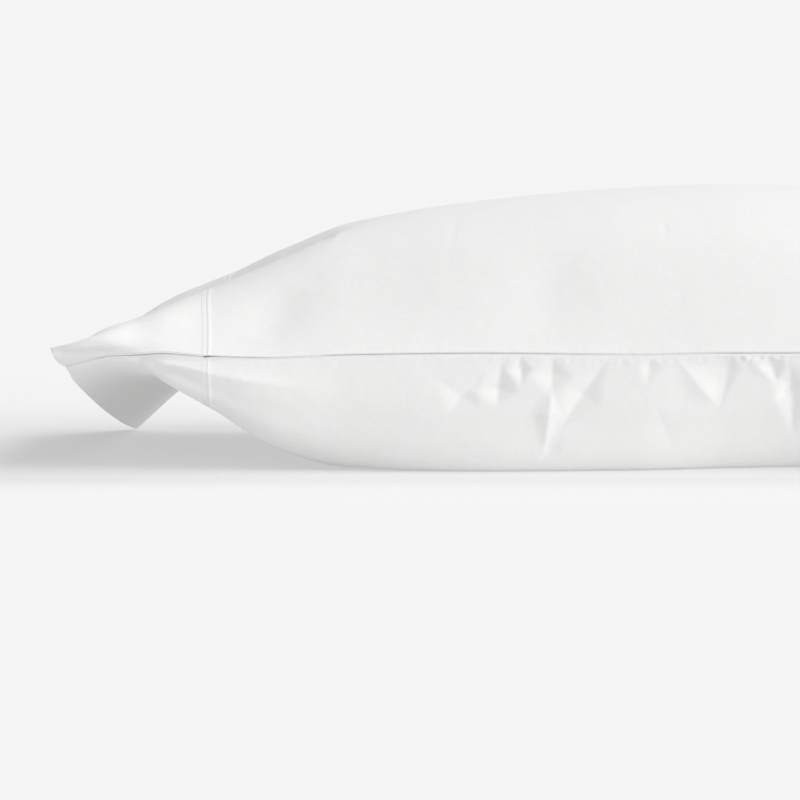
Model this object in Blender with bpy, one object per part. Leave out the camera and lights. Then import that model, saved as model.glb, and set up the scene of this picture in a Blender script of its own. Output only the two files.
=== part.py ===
"""A filled percale pillowcase lying on its back, with its open mouth at -X.

Two panels are sewn together along both long sides and the closed end. Each panel is one solid: the
crowned half of the filled body, running on past the pillow's rounded end as a thin sheet, the deep
hem, over or under the open mouth. The near side is at -Y. The pillowcase rests on z = 0, and the
origin is at the bottom centre of its box.
"""

from collections import namedtuple

import bmesh
import bpy
import numpy as np

MM = 0.001

CLOTH_LENGTH = 762.0        # mouth to closed end, measured along the cloth
CLOTH_WIDTH = 508.0         # seam to seam, measured across the cloth
HEM_DEPTH = 102.0           # the turned hem at the mouth
SHEET = 2.2                 # the doubled cloth of the hem, with its air
SEAM_RISE = 1.0             # half the thickness of the turned seam
GAP = 0.3                   # parting between the two panels
FILL_START = 74.0           # the tip of the pillow's rounded end, along the cloth at mid-width
FILL_CORNER_LAG = 26.0      # how much deeper it lies at the two sides
FILL_ROUND = 48.0           # from that tip back to where the pillow touches the cloth
FILL_TAPER = 0.25           # how much more sharply the pillow's end leaves the cloth than an ellipse
SEAM_CREEP = 3.0            # how far the end's rows run on at the seams, where it has no depth
SHEET_ROWS = 10             # inner rows that line the open hem
FILL_ROWS = 5               # inner rows round the pillow's end
SIDE_BULGE = 6.0            # how far the filling pushes the side out below the seam
FULL_SIDE = 90.0            # height of side that takes all of that bulge
END_ROUND = 715.0           # where the closed end begins to round down, along the cloth
FLAT_BLEND = 2.5            # height over which the underside settles onto the floor
CURVE_STEPS = 1500          # steps in which a section's curve is measured
CENTRE_X = -97.0            # middle of the length, which becomes x = 0
CENTRE_Y = -2.5             # middle of the width, which becomes y = 0

# The grid's cells lie closer together where the cloth is folded: runs of (where the run ends, cells).
ROW_RUNS = [(150, 12), (255, 4), (525, 19), (715, 7), (CLOTH_LENGTH, 6)]
COLUMN_RUNS = [(0.2, 10), (0.8, 14), (1.0, 6)]

# One row for each section, in mm. `s` runs along the cloth from the mouth. The near seam, the crest
# of the near ridge, the middle, the crest of the far ridge and the far seam shape the top. The near
# foot, the underside and the far foot shape the bottom between the same two seams.
Section = namedtuple(
    "Section",
    "s near_x top_x under_x far_x near_y near_z ridge_y ridge_z mid_z far_ridge_y far_ridge_z far_y far_z "
    "foot_y foot_z under_z far_foot_y far_foot_z",
)
SECTIONS = [
    Section(0, -447, -463, -436, -424, -215, 73, -230, 83, 66, 165, 68, 205, 1, -180, 65, 31, 120, 12),
    Section(35, -414, -421, -407, -398, -219, 81, -214, 95, 76, 160, 83, 206, 25, -217, 79, 48, 120, 33),
    Section(54, -396, -401, -391, -384, -221, 82, -198, 100, 84, 155, 98, 207, 37, -219, 77, 51, 120, 41),
    Section(70, -382, -384, -378, -372, -222, 83, -182, 106, 92, 150, 106, 208, 47, -217, 68, 53, 120, 49),
    Section(102, -353, -352, -352, -349, -224, 81, -142, 118, 108, 140, 117, 213, 65, -198, 50, 38, 125, 38),
    Section(150, -310, -309, -309, -307, -225, 80, -118, 137, 135, 125, 136, 217, 76, -174, 22, 11, 150, 14),
    Section(205, -258, -261, -261, -257, -225, 82, -116, 148, 160, 120, 149, 218, 80, -162, 7, -3, 152, 0),
    Section(300, -167, -168, -168, -167, -225, 83, -126, 155, 177, 125, 155, 219, 82, -160, -1, -5, 152, -3),
    Section(400, -72, -70, -70, -72, -225, 82, -130, 160, 186, 130, 160, 219, 82, -150, -2, -5, 148, -3),
    Section(470, -6, 0, 0, -6, -224, 83, -130, 162, 189, 130, 162, 219, 82, -130, -2, -5, 136, -3),
    Section(540, 60, 70, 68, 60, -223, 83, -130, 159, 186, 130, 159, 218, 82, -118, -2, -5, 130, -3),
    Section(610, 127, 136, 132, 127, -223, 82, -129, 151, 175, 128, 151, 218, 82, -126, -1, -4, 136, -1),
    Section(670, 184, 189, 184, 184, -226, 81, -130, 136, 155, 130, 136, 221, 81, -150, 8, 3, 150, 8),
    Section(715, 226, 223, 220, 226, -231, 80, -133, 119, 130, 133, 119, 226, 80, -152, 25, 20, 152, 25),
    Section(745, 254, 241, 240, 254, -236, 79, -135, 100, 103, 135, 100, 231, 79, -148, 52, 47, 148, 52),
    Section(762, 271, 247, 247, 271, -240, 79, -136, 78, 77, 136, 78, 235, 79, -136, 78, 77, 136, 78),
]

# Soft folds that show from a step away, in mm. Each runs between two places given by the distance
# along the cloth and the share of the width from the near seam. A plus height is a ridge.
Fold = namedtuple("Fold", "panel s_from across_from s_to across_to height half_width")
FOLDS = [
    Fold("top", 136, 0.05, 168, 0.17, -2.5, 22),
    Fold("top", 120, 0.24, 190, 0.52, -3.0, 26),
    Fold("top", 335, 0.04, 350, 0.20, -2.0, 26),
    Fold("bottom", 74, 0.01, 144, 0.04, 2.5, 9),
    Fold("bottom", 297, 0.03, 273, 0.09, -2.5, 10),
    Fold("bottom", 311, 0.01, 306, 0.07, -3.5, 9),
    Fold("bottom", 344, 0.01, 343, 0.06, -3.0, 10),
    Fold("bottom", 342, 0.06, 339, 0.16, 2.5, 10),
    Fold("bottom", 381, 0.01, 349, 0.12, -3.0, 9),
    Fold("bottom", 428, 0.01, 457, 0.09, 3.5, 11),
    Fold("bottom", 466, 0.01, 460, 0.09, -3.5, 9),
    Fold("bottom", 480, 0.01, 496, 0.05, 2.5, 8),
    Fold("bottom", 495, 0.01, 498, 0.05, -2.5, 8),
    Fold("bottom", 508, 0.03, 511, 0.16, -3.5, 12),
]
FOLD_TIP = 0.12             # share of a half wave by which a fold is cut short at its two tips
SEAM_FADE = 6.0             # folds die out over this distance at the side seams
END_FADE = 20.0             # and over this one at the closed end


def smooth_curve(at, places, values):
    """A cubic curve through the given values whose slopes never overshoot them."""
    at = np.clip(at, places[0], places[-1])
    steps = np.diff(places)
    rises = np.diff(values) / steps
    slopes = np.zeros(len(places))
    slopes[0] = rises[0]
    slopes[-1] = rises[-1]
    for i in range(1, len(places) - 1):
        before, after = rises[i - 1], rises[i]
        if before * after > 0:
            slopes[i] = 3 * (steps[i - 1] + steps[i]) / (
                (2 * steps[i] + steps[i - 1]) / before + (steps[i] + 2 * steps[i - 1]) / after
            )
    i = np.clip(np.searchsorted(places, at) - 1, 0, len(places) - 2)
    h = steps[i]
    u = (at - places[i]) / h
    return (
        values[i] * (1 + 2 * u) * (1 - u) ** 2
        + slopes[i] * h * u * (1 - u) ** 2
        + values[i + 1] * u * u * (3 - 2 * u)
        - slopes[i + 1] * h * u * u * (1 - u)
    )


def section_at(s):
    """The section at any distance along the cloth, between the table's rows."""
    places = np.array([row.s for row in SECTIONS], float)
    columns = np.array(SECTIONS, float).T
    return Section(*[smooth_curve(s, places, column) for column in columns])


def spline_through(points, shares):
    """The points at the given shares of the length of a smooth curve through a few (y, z) points.

    The curve bends most at its points and doesn't swing past them, as crisp cloth lies over a ridge.
    """
    points = np.array(points, float)
    first = 2 * points[0] - points[1]
    last = 2 * points[-1] - points[-2]
    chain = np.vstack([first, points, last])
    places = np.concatenate([[0], np.cumsum(np.sqrt(np.linalg.norm(np.diff(chain, axis=0), axis=1)))])
    steps = np.diff(places)
    tangents = np.zeros_like(chain)
    for i in range(1, len(chain) - 1):
        before = (chain[i] - chain[i - 1]) / steps[i - 1]
        after = (chain[i + 1] - chain[i]) / steps[i]
        tangents[i] = (before * steps[i] + after * steps[i - 1]) / (steps[i] + steps[i - 1])
    fine = np.linspace(places[1], places[-2], CURVE_STEPS)
    i = np.clip(np.searchsorted(places, fine) - 1, 1, len(points) - 1)
    h = steps[i][:, None]
    u = (fine - places[i])[:, None] / h
    curve = (
        chain[i] * (1 + 2 * u) * (1 - u) ** 2
        + tangents[i] * h * u * (1 - u) ** 2
        + chain[i + 1] * u * u * (3 - 2 * u)
        - tangents[i + 1] * h * u * u * (1 - u)
    )
    lengths = np.concatenate([[0], np.cumsum(np.linalg.norm(np.diff(curve, axis=0), axis=1))])
    wanted = shares * lengths[-1]
    return np.stack([np.interp(wanted, lengths, curve[:, axis]) for axis in range(2)], axis=1)


def side_point(seam, foot, s):
    """A point halfway down the rounded side, where the filling pushes it out between seam and foot."""
    seam, foot = np.array(seam), np.array(foot)
    down = foot - seam
    outward = np.array([down[1], -down[0]]) / np.linalg.norm(down)
    if outward[1] > 0:
        outward = -outward
    filled = np.interp(s, [FILL_START, HEM_DEPTH, END_ROUND, CLOTH_LENGTH], [0, 1, 1, 0])
    fullness = min(1, np.linalg.norm(down) / FULL_SIDE)
    return 0.5 * (seam + foot) + outward * SIDE_BULGE * filled * fullness


def section_curves(s, across):
    """The (x, y, z) points across the top and the bottom of one section, from near seam to far seam."""
    row = section_at(s)
    near = (row.near_y, row.near_z)
    far = (row.far_y, row.far_z)
    ridge = (row.ridge_y, row.ridge_z)
    far_ridge = (row.far_ridge_y, row.far_ridge_z)
    top = spline_through([near, ridge, (0, row.mid_z), far_ridge, far], across)
    foot = (row.foot_y, row.foot_z)
    far_foot = (row.far_foot_y, row.far_foot_z)
    near_side = side_point(near, foot, s)
    far_side = side_point(far, far_foot, s)
    bottom = spline_through([near, near_side, foot, (0, row.under_z), far_foot, far_side, far], across)
    seam_x = row.near_x + (row.far_x - row.near_x) * across
    lead = np.sin(np.pi * across) ** 0.5
    middle_x = 0.5 * (row.near_x + row.far_x)
    top_x = seam_x + (row.top_x - middle_x) * lead
    bottom_x = seam_x + (row.under_x - middle_x) * lead
    return np.column_stack([top_x, top]), np.column_stack([bottom_x, bottom])


def outer_surfaces(places, across):
    """The grids of points on the outside of the top and the bottom panel, before any fold."""
    curves = [section_curves(s, across) for s in places]
    top = np.array([pair[0] for pair in curves])
    bottom = np.array([pair[1] for pair in curves])
    end = 0.5 * (top[-1] + bottom[-1])
    top[-1] = end
    bottom[-1] = end
    return top, bottom


def grid_normals(grid, up):
    """Unit normals of a grid of points, on the upper or the lower side."""
    along = np.gradient(grid, axis=0)
    across = np.gradient(grid, axis=1)
    normals = np.cross(along, across)
    normals /= np.maximum(np.linalg.norm(normals, axis=2, keepdims=True), 1e-9)
    return normals if up else -normals


def fold_heights(panel, places, across):
    """How far the soft folds push each point of a panel's grid in or out."""
    s, width = np.meshgrid(places, across * CLOTH_WIDTH, indexing="ij")
    heights = np.zeros_like(s)
    for fold in FOLDS:
        if fold.panel != panel:
            continue
        start = np.array([fold.s_from, fold.across_from * CLOTH_WIDTH])
        run = np.array([fold.s_to, fold.across_to * CLOTH_WIDTH]) - start
        from_start = np.stack([s, width], axis=2) - start
        share = np.clip(from_start @ run / (run @ run), 0, 1)
        away = np.linalg.norm(from_start - share[..., None] * run, axis=2)
        fade = np.sin(np.pi * (FOLD_TIP + (1 - 2 * FOLD_TIP) * share))
        heights += fold.height * fade * np.exp(-((away / fold.half_width) ** 2))
    from_seam = np.minimum(width, CLOTH_WIDTH - width)
    heights *= np.clip(from_seam / SEAM_FADE, 0, 1)
    return heights * np.clip((CLOTH_LENGTH - s) / END_FADE, 0, 1)


def settle_on_floor(grid):
    """Flatten what would sink below the floor, with a soft bend at its rim."""
    z = grid[..., 2]
    soft = (z + FLAT_BLEND) ** 2 / (4 * FLAT_BLEND)
    grid[..., 2] = np.where(z < -FLAT_BLEND, 0, np.where(z > FLAT_BLEND, z, soft))


def inner_path(rows, across):
    """Where each inner row lies along the cloth, and how deep: 0 on the cloth, 1 in the middle.

    The rows line the open hem as far as the pillow, turn back round the pillow's end to its tip, and
    then run along the middle to the closed end.
    """
    tip = FILL_START + FILL_CORNER_LAG * (2 * across - 1) ** 2
    length = (FILL_ROUND + SEAM_CREEP) * np.sqrt(np.sin(np.pi * across).clip(0)) - SEAM_CREEP
    touch = tip + np.maximum(length, 0)
    angle = np.linspace(0, np.pi / 2, FILL_ROWS + 1)[1:, None]
    lining = touch * np.linspace(0, 1, SHEET_ROWS + 1)[:, None]
    rounding = touch - length * np.sin(angle)
    share = np.linspace(0, 1, rows - len(lining) - len(rounding) + 1)[1:, None]
    middle = rounding[-1] * (1 - share) + CLOTH_LENGTH * share
    off_cloth = 1 - np.cos(angle) * (1 - FILL_TAPER * np.sin(angle))
    depth = np.concatenate([0 * lining, off_cloth + 0 * rounding, 1 + 0 * middle])
    return np.concatenate([lining, rounding, middle]), depth


def grid_at(grid, places, wanted):
    """The points of a grid at any places along each of its columns."""
    columns = range(grid.shape[1])
    found = [[np.interp(wanted[:, j], places, grid[:, j, axis]) for axis in range(3)] for j in columns]
    return np.array(found).transpose(2, 0, 1)


def spread(runs):
    """Places from 0 on, in runs of evenly spaced cells."""
    places = [0.0]
    for end, cells in runs:
        places.extend(np.linspace(places[-1], end, cells + 1)[1:])
    return np.array(places)


def panel_grids(places, across):
    """Outer and inner grids of both panels, in metres, at places along and shares across the cloth."""
    top, bottom = outer_surfaces(places, across)
    top += grid_normals(top, True) * fold_heights("top", places, across)[..., None]
    bottom += grid_normals(bottom, False) * fold_heights("bottom", places, across)[..., None]
    top[..., 2] += SEAM_RISE
    bottom[..., 2] -= SEAM_RISE
    settle_on_floor(bottom)
    inner_places, depth = inner_path(len(places), across)
    grids = []
    for outer, other in ((top, bottom), (bottom, top)):
        above = grid_at(outer, places, inner_places)
        inward = 0.5 * (grid_at(other, places, inner_places) - above)
        length = np.linalg.norm(inward, axis=2)
        most = length - GAP / 2
        thin = np.minimum(SHEET, most)
        reach = thin + (most - thin) * depth
        inner = above + inward * (reach / length)[..., None]
        grids.append((outer, inner))
    shift = np.array([CENTRE_X, CENTRE_Y, 0])
    return [tuple((grid - shift) * MM for grid in pair) for pair in grids]


def panel_mesh(name, outer, inner, faces_up):
    """One closed solid between an outer and an inner grid."""
    mesh = bmesh.new()
    outside = [[mesh.verts.new(point) for point in row] for row in outer]
    inside = [[mesh.verts.new(point) for point in row] for row in inner]
    rows, columns = len(outside) - 1, len(outside[0]) - 1

    def quad(a, b, c, d):
        mesh.faces.new((a, b, c, d) if faces_up else (d, c, b, a))

    for i in range(rows):
        for j in range(columns):
            quad(outside[i][j], outside[i + 1][j], outside[i + 1][j + 1], outside[i][j + 1])
            quad(inside[i][j], inside[i][j + 1], inside[i + 1][j + 1], inside[i + 1][j])
    for i in range(rows):
        quad(outside[i][0], inside[i][0], inside[i + 1][0], outside[i + 1][0])
        quad(outside[i + 1][-1], inside[i + 1][-1], inside[i][-1], outside[i][-1])
    for j in range(columns):
        quad(outside[0][j + 1], inside[0][j + 1], inside[0][j], outside[0][j])
        quad(outside[-1][j], inside[-1][j], inside[-1][j + 1], outside[-1][j + 1])
    bmesh.ops.triangulate(mesh, faces=mesh.faces[:])
    data = bpy.data.meshes.new(name)
    mesh.to_mesh(data)
    mesh.free()
    data.shade_smooth()
    return data


def cotton_material(name):
    """White percale: nearly white, matt and not metallic."""
    material = bpy.data.materials.new(name)
    material.use_nodes = True
    shader = material.node_tree.nodes["Principled BSDF"]
    shader.inputs["Base Color"].default_value = (0.88, 0.88, 0.87, 1)
    shader.inputs["Roughness"].default_value = 0.9
    shader.inputs["Metallic"].default_value = 0
    return material


def add_panel(name, grids, faces_up):
    """Put one panel into the scene with its own material."""
    outer, inner = grids
    data = panel_mesh(name, outer, inner, faces_up)
    data.materials.append(cotton_material(name + "_percale"))
    bpy.context.scene.collection.objects.link(bpy.data.objects.new(name, data))


def main():
    for thing in list(bpy.data.objects):
        bpy.data.objects.remove(thing)
    top, bottom = panel_grids(spread(ROW_RUNS), spread(COLUMN_RUNS))
    add_panel("top_panel", top, True)
    add_panel("bottom_panel", bottom, False)


main()
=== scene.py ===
"""The looks of a filled percale pillowcase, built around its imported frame.

Each panel is rebuilt as fine cloth on its solid's own form: puckers along the sewn seams, the turned
hem with its two rows of stitches, the open mouth, and the pillow's rounded end inside it. Lengths in
the tables are millimetres, along the cloth from the mouth and across it from the near seam.
"""

import math
from collections import namedtuple

import bmesh
import bpy
import numpy as np
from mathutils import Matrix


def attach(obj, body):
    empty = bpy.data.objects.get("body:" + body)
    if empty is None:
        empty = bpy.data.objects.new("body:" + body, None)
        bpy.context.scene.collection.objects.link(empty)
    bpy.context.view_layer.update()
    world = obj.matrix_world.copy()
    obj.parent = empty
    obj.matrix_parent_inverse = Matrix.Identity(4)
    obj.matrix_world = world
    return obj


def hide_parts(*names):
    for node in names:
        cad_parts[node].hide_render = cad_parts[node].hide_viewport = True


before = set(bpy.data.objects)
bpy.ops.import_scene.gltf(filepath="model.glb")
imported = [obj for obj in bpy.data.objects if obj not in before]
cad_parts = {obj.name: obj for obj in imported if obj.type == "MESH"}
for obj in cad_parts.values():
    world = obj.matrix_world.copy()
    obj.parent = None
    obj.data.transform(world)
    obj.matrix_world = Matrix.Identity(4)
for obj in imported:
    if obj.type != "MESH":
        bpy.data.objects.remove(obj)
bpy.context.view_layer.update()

MM = 0.001
TINY = 1e-9                 # the least length to divide by

# --- the form, as in the part's source ---

CLOTH_LENGTH = 762.0        # mouth to closed end, measured along the cloth
CLOTH_WIDTH = 508.0         # seam to seam, measured across the cloth
HEM_DEPTH = 102.0           # the turned hem at the mouth
SEAM_RISE = 0.55            # half the thickness of the turned seam
FILL_START = 74.0           # the tip of the pillow's rounded end, along the cloth at mid-width
FILL_CORNER_LAG = 26.0      # how much deeper it lies at the two sides
FILL_ROUND = 48.0           # from that tip back to where the pillow touches the cloth
FILL_TAPER = 0.25           # how much more sharply the pillow's end leaves the cloth than an ellipse
SEAM_CREEP = 3.0            # how far the end's rows run on at the seams, where it has no depth
SIDE_BULGE = 6.0            # how far the filling pushes the side out below the seam
FULL_SIDE = 90.0            # height of side that takes all of that bulge
END_ROUND = 715.0           # where the closed end begins to round down, along the cloth
FLAT_BLEND = 2.5            # height over which the underside settles onto the floor
CURVE_STEPS = 1500          # steps in which a section's curve is measured
CENTRE_X = -97.0            # middle of the length, which becomes x = 0
CENTRE_Y = -2.5             # middle of the width, which becomes y = 0

Section = namedtuple(
    "Section",
    "s near_x top_x under_x far_x near_y near_z ridge_y ridge_z mid_z far_ridge_y far_ridge_z far_y far_z "
    "foot_y foot_z under_z far_foot_y far_foot_z",
)
SECTIONS = [
    Section(0, -447, -463, -436, -424, -215, 73, -230, 83, 66, 165, 68, 205, 1, -180, 65, 31, 120, 12),
    Section(35, -414, -421, -407, -398, -219, 81, -214, 95, 76, 160, 83, 206, 25, -217, 79, 48, 120, 33),
    Section(54, -396, -401, -391, -384, -221, 82, -198, 100, 84, 155, 98, 207, 37, -219, 77, 51, 120, 41),
    Section(70, -382, -384, -378, -372, -222, 83, -182, 106, 92, 150, 106, 208, 47, -217, 68, 53, 120, 49),
    Section(102, -353, -352, -352, -349, -224, 81, -142, 118, 108, 140, 117, 213, 65, -198, 50, 38, 125, 38),
    Section(150, -310, -309, -309, -307, -225, 80, -118, 137, 135, 125, 136, 217, 76, -174, 22, 11, 150, 14),
    Section(205, -258, -261, -261, -257, -225, 82, -116, 148, 160, 120, 149, 218, 80, -162, 7, -3, 152, 0),
    Section(300, -167, -168, -168, -167, -225, 83, -126, 155, 177, 125, 155, 219, 82, -160, -1, -5, 152, -3),
    Section(400, -72, -70, -70, -72, -225, 82, -130, 160, 186, 130, 160, 219, 82, -150, -2, -5, 148, -3),
    Section(470, -6, 0, 0, -6, -224, 83, -130, 162, 189, 130, 162, 219, 82, -130, -2, -5, 136, -3),
    Section(540, 60, 70, 68, 60, -223, 83, -130, 159, 186, 130, 159, 218, 82, -118, -2, -5, 130, -3),
    Section(610, 127, 136, 132, 127, -223, 82, -129, 151, 175, 128, 151, 218, 82, -126, -1, -4, 136, -1),
    Section(670, 184, 189, 184, 184, -226, 81, -130, 136, 155, 130, 136, 221, 81, -150, 8, 3, 150, 8),
    Section(715, 226, 223, 220, 226, -231, 80, -133, 119, 130, 133, 119, 226, 80, -152, 25, 20, 152, 25),
    Section(745, 254, 241, 240, 254, -236, 79, -135, 100, 103, 135, 100, 231, 79, -148, 52, 47, 148, 52),
    Section(762, 271, 247, 247, 271, -240, 79, -136, 78, 77, 136, 78, 235, 79, -136, 78, 77, 136, 78),
]

Fold = namedtuple("Fold", "panel s_from across_from s_to across_to height half_width")
FOLDS = [
    Fold("top", 136, 0.05, 168, 0.17, -2.5, 22),
    Fold("top", 120, 0.24, 190, 0.52, -3.0, 26),
    Fold("top", 335, 0.04, 350, 0.20, -2.0, 26),
]
FOLD_TIP = 0.12             # share of a half wave by which a fold is cut short at its two tips
SEAM_FADE = 6.0             # folds die out over this distance at the side seams
END_FADE = 20.0             # and over this one at the closed end
END_SHARE = 0.25            # down to this share of their height

# --- what the solids leave to this script ---

# Crisp puckers, in mm of cloth: each is a kite of flat facets on both sides of a line, which is a crest, or
# a valley where the height has a minus. "peak" is the share of the line's length where the kite is highest
# and widest. "before" and "after" are its widths there, towards the mouth and towards the closed end.
Pucker = namedtuple("Pucker", "s_from w_from s_to w_to peak height before after")
UNDER_PUCKERS = [
    Pucker(297, 13, 273, 46, 0.60, -2.6, 22, 13),
    Pucker(309, 4, 306, 38, 0.70, -3.9, 22, 13),
    Pucker(321, 0, 323, 22, 0.55, -2.7, 10, 7),
    Pucker(344, 1, 343, 31, 0.50, -2.9, 15, 14),
    Pucker(343, 26, 339, 80, 0.35, 2.5, 11, 9),
    Pucker(381, 4, 349, 60, 0.50, -3.0, 15, 13),
    Pucker(352, 66, 336, 88, 0.50, -1.2, 7, 7),
    Pucker(411, 1, 409, 23, 0.35, -1.6, 8, 9),
    Pucker(414, 40, 428, 84, 0.50, -0.8, 14, 12),
    Pucker(428, 0, 457, 46, 0.70, 1.6, 12, 11),
    Pucker(467, 0, 460, 47, 0.28, -2.1, 26, 8),
    Pucker(478, 2, 496, 26, 0.55, 1.0, 8, 10),
    Pucker(494, 0, 498, 26, 0.45, -2.8, 11, 8),
    Pucker(508, 10, 511, 82, 0.40, -3.0, 13, 12),
    Pucker(462, 0, 461, 7, 0.40, -0.6, 3, 3),
    Pucker(474, 0, 473, 9, 0.40, -0.7, 3, 3),
    Pucker(488, 0, 487, 7, 0.40, -0.6, 3, 3),
    Pucker(502, 0, 502, 7, 0.40, -0.6, 3, 3),
]
TOP_PUCKERS = [
    Pucker(272, 78, 284, 210, 0.5, -0.3, 4, 4),
    Pucker(424, 108, 424, 142, 0.5, -0.3, 4, 4),
    Pucker(182, 166, 194, 204, 0.5, -1.0, 4, 5),
    Pucker(190, 150, 202, 196, 0.5, 0.9, 4, 5),
]
# The underside's again where the photograph doesn't reach: a stretch of them, moved along the cloth.
Repeat = namedtuple("Repeat", "s_from s_to shift far_side share")
REPEATS = [
    Repeat(290, 500, 228, False, 0.9), Repeat(290, 520, -152, True, 0.7), Repeat(290, 520, 84, True, 0.9),
    Repeat(290, 420, 316, True, 0.8),
]
FACET_SOFT = 0.10           # how far the facets' edges are rounded, as a share of their width
CREASE_FADE = 1.0           # crisp creases rise from nothing over this distance at a seam

# How far the crest at the far side is trued to a straight line, in mm, by place along the cloth.
FAR_TRUE = [(0, -3.6), (18, -3.2), (38, 1.2), (56, -1.2), (74, -1.2), (96, 0.0)]
FAR_TRUE_ACROSS = (250, 330, 440, 505)
# How far the hem's top sags just behind the mouth, by place along the cloth.
MOUTH_SAG = [(0, 0.0), (8, -1.6), (20, -3.4), (30, -1.4), (42, 0.0)]
MOUTH_SAG_ACROSS = (14, 26, 60, 150)
HEM_SWAY = 3.4              # how far the hem's line sways towards the mouth over the near crest
HEM_SWAY_ACROSS = (6, 105, 190, 320)
HEM_SWAY_ALONG = 34.0

# Lines on the cloth along which the whole surface turns sharply: places, and how strong the turn is there.
Turn = namedtuple("Turn", "s w share")
NEAR_CREST = [
    Turn(44, 54, 0.0), Turn(52, 64, 0.6), Turn(60, 72, 1.0), Turn(94, 118, 1.0), Turn(132, 155, 1.0),
    Turn(162, 172, 0.8), Turn(196, 186, 0.0),
]
TURN_POWER = 1.35           # 2 would be a bell curve, 1 a sharp fold
CREST_RISE = 1.0            # the crest itself
CREST_SIDE = 10.0           # and its half width
CREST_DROP = 5.0            # the cloth falls away behind it
CREST_FALL = 8.0
CREST_REACH = 60.0
SIDE_RIM = [
    Turn(34, 1, 0.0), Turn(42, 2, 0.6), Turn(50, 3.5, 1.0), Turn(60, 8.5, 0.8), Turn(71, 19, 0.4),
    Turn(82, 29, 0.1), Turn(103, 50, 0.0),
]
RIM_RISE = 0.5              # the rim where the underside turns in below the near seam, at the hem
RIM_SIDE = 4.0
SIDE_SHELF = [
    Turn(52, 1.2, 0.0), Turn(62, 2.4, 0.6), Turn(74, 4.6, 1.0), Turn(90, 6.6, 1.0), Turn(104, 10, 1.0),
    Turn(120, 13.5, 1.0), Turn(144, 17.5, 0.7), Turn(172, 22, 0.2), Turn(200, 27, 0.0), Turn(215, 29, 0.0),
]
SHELF_RISE = 5.2            # the crest below the near seam, where the side turns down and away
SHELF_SIDES = (10.0, 17.0)  # how far it reaches, up towards the seam and down
SHELF_START = 2.4           # and over how much of the cloth it rises from the seam
TIP_CREST = [
    Turn(0, 24, 0.5), Turn(6, 18.5, 0.9), Turn(12, 14, 1.0), Turn(20, 10, 1.0), Turn(30, 8, 1.0),
    Turn(40, 7, 0.5), Turn(50, 7, 0.0),
]
TIP_RISE = 1.3              # the hem's rolled edge at the near corner of the mouth
TIP_SIDE = 3.0
TIP_HOLLOW = 2.6            # and the hollow right below it
TIP_HOLLOW_AT = 4.5
TIP_HOLLOW_SIDE = 3.5
TIP_CURL = 14.0             # how far the near corner of the mouth curls in
TIP_CURL_ALONG = 60.0
TIP_CURL_ACROSS = (14, 70)
TIP_TUCK = 3.0              # how far the top's edge behind that corner lies back
TIP_TUCK_ALONG = 20.0
TIP_TUCK_ACROSS = (29, 55, 120, 200)
HEM_TUCK = 6.0              # how far the hem is drawn in along its near side
HEM_TUCK_ALONG = (46, 104)
HEM_TUCK_ACROSS = (6, 24, 60, 110)
RIM_TUCK = 8.0              # how far the side is drawn in where it turns under the hem
RIM_TUCK_ALONG = (40, 56, 64, 98)
RIM_TUCK_ACROSS = (6, 14, 40, 110)

# Nips: the small creases that a seam's stitches gather. Each has these measures, times a random share.
Nips = namedtuple("Nips", "spacing height half_width length lean")
NIPS = Nips(5.0, 0.75, 2.6, 10.0, 0.35)
NIP_SHARES = Nips((0.5, 1.6), (0.4, 1.3), (0.7, 1.5), (0.4, 1.7), (-1.0, 1.0))
NIP_PEAK = 0.3              # where along its length each is highest
NIP_LEAST = 0.02            # lower ones are left out
NIP_BOX = (3, 2)            # how far each is worked out: half widths to its sides, lengths away
# How strong the nips and gathers are along each seam, as places and shares.
NEAR_UNDER = [
    (0, 0.0), (96, 0.0), (125, 0.2), (155, 0.4), (170, 0.15), (290, 0.2), (320, 0.4), (430, 0.3), (455, 0.7),
    (520, 0.6), (740, 0.9), (762, 0.8),
]
NEAR_TOP = [(0, 0.0), (105, 0.0), (140, 0.1), (500, 0.12), (560, 0.4), (740, 0.8), (762, 0.5)]
FAR_SIDE = [(0, 0.0), (100, 0.0), (130, 0.5), (300, 0.9), (740, 1.0), (762, 0.7)]
CLOSED_END = [(0, 0.8), (60, 1.7), (254, 1.2), (448, 1.7), (508, 0.8)]

# Gathers: softer waves of cloth that widen and die out away from a seam.
Gather = namedtuple("Gather", "wavelength reach height")
GATHERS = [Gather(11.0, 14.0, 0.30), Gather(24.0, 36.0, 0.6), Gather(50.0, 70.0, 0.9)]
GATHER_RISE = 1.6           # they grow from nothing over this distance at the seam
GATHER_LATER = 0.1          # and over this share of their wavelength more
GATHER_LEAN = 0.35          # how far they lean as they leave the seam
GATHER_STRETCH = 2.5        # how far a wave keeps its form away from the seam, in reaches
GATHER_POWER = 1.4          # how sharply it dies out past its reach
SEAM_SEEDS = {"top": (11, 31, 51), "bottom": (21, 41, 61)}  # near seam, far seam and closed end

SLACK_CELL = (95.0, 80.0)   # size of the slow undulations of the cloth, along and across
SLACK_HEIGHT = 0.55
PRESS_CELL = (30.0, 24.0)   # and of the faint ones on them
PRESS_HEIGHT = 0.10
SLACK_FADE = 30.0           # they die out over this distance at the side seams and the hem
SLACK_SEEDS = {"top": 71, "bottom": 81}

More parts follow.
